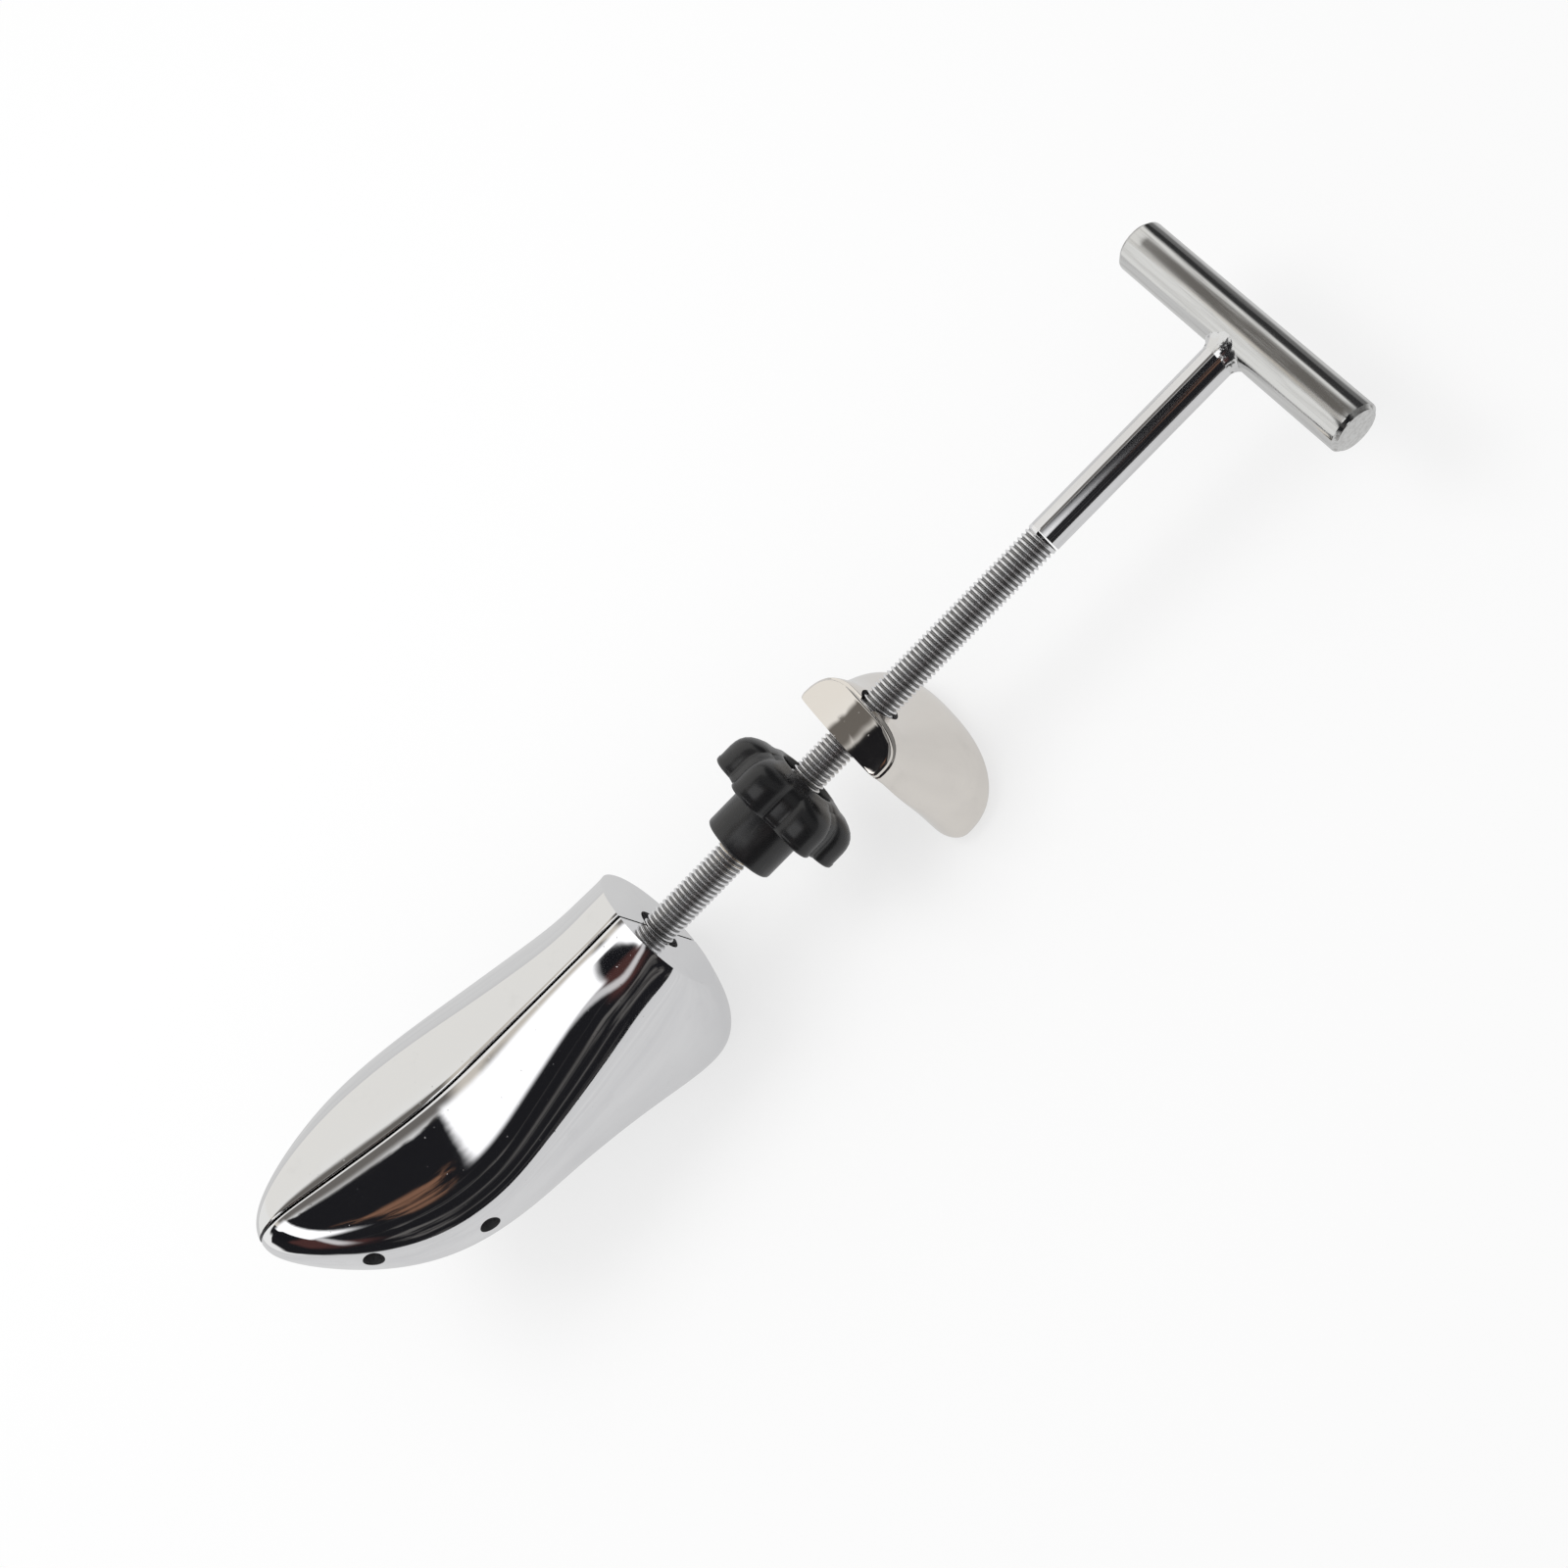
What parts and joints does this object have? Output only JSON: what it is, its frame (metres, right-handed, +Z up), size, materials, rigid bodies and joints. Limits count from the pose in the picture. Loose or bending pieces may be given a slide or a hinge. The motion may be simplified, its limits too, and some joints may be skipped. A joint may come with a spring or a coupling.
{
  "type": "shoe stretcher",
  "caption": "Metal shoe stretcher: split mirror-finish toe block opened by a screw, heel block pushed back by a star knob, and a cross-bar handle.",
  "frame": {"origin": "midway along the whole length and width, on the floor plane that the toe block and the heel block rest on", "axes": "+Y along the screw rod from the toe towards the cross bar, +X to the left side seen from the handle's back towards the toe, +Z up"},
  "size_m": [0.083, 0.3626, 0.0827],
  "materials": {
    "chrome_left": "mirror polished cast metal",
    "chrome_right": "mirror polished cast metal",
    "heel_chrome": "polished cast metal",
    "hinge_brass": "satin",
    "steel": "turned and zinc plated",
    "nut_brass": "machined",
    "spring_steel": "drawn wire",
    "rod_steel": "bright plated thread",
    "bar_steel": "polished with fine length streaks",
    "weld": "plated over a rough weld",
    "knob_black": "satin moulded plastic"
  },
  "bodies": {
    "toe_core": {"guide_nut": "nut_brass", "hinge_pin": "steel", "return_spring": "spring_steel"},
    "toe_left": {"toe_half_left": "chrome_left", "hinge_leaf_left": "hinge_brass", "leaf_screws_left": "steel", "spring_pin_left": "steel"},
    "toe_right": {"toe_half_right": "chrome_right", "hinge_leaf_right": "hinge_brass", "leaf_screws_right": "steel", "spring_pin_right": "steel"},
    "spreader": {"spreader_cone": "steel", "thrust_washer": "nut_brass"},
    "handle": {"screw_rod": "rod_steel", "cross_bar": "bar_steel", "weld_bead": "weld", "cone_clip": "spring_steel"},
    "heel": {"heel_block": "heel_chrome"},
    "knob": {"star_knob": "knob_black", "knob_insert": "nut_brass"}
  },
  "joints": [
    {"name": "handle_turn", "type": "hinge", "parent": "spreader", "child": "handle", "pos_m": [0, -0.0797, 0.04], "axis": [0, -1, 0], "range_deg": [0, 3600]},
    {"name": "spreader_travel", "type": "slide", "parent": "toe_core", "child": "spreader", "axis": [0, -1, 0], "range_m": [0, 0.015]},
    {"name": "toe_open_left", "type": "hinge", "parent": "toe_core", "child": "toe_left", "pos_m": [0, -0.1727, 0.069], "axis": [0, 0, -1], "range_deg": [0, 3.5], "deforming": ["return_spring"]},
    {"name": "toe_open_right", "type": "hinge", "parent": "toe_core", "child": "toe_right", "pos_m": [0, -0.1727, 0.069], "axis": [0, 0, 1], "range_deg": [0, 3.5]},
    {"name": "knob_turn", "type": "hinge", "parent": "heel", "child": "knob", "pos_m": [0, -0.0037, 0.04], "axis": [0, 1, 0], "range_deg": [-3600, 9600]},
    {"name": "heel_travel", "type": "slide", "parent": "spreader", "child": "heel", "axis": [0, 1, 0], "range_m": [-0.015, 0.04]}
  ],
  "couplings": [
    {"joint": "spreader_travel", "follows": "handle_turn", "m_per_rad": 0.00023873},
    {"joint": "toe_open_left", "follows": "handle_turn", "ratio": 0.00097222},
    {"joint": "toe_open_right", "follows": "handle_turn", "ratio": 0.00097222},
    {"joint": "knob_turn", "follows": "heel_travel", "rad_per_m": 4188.8}
  ]
}
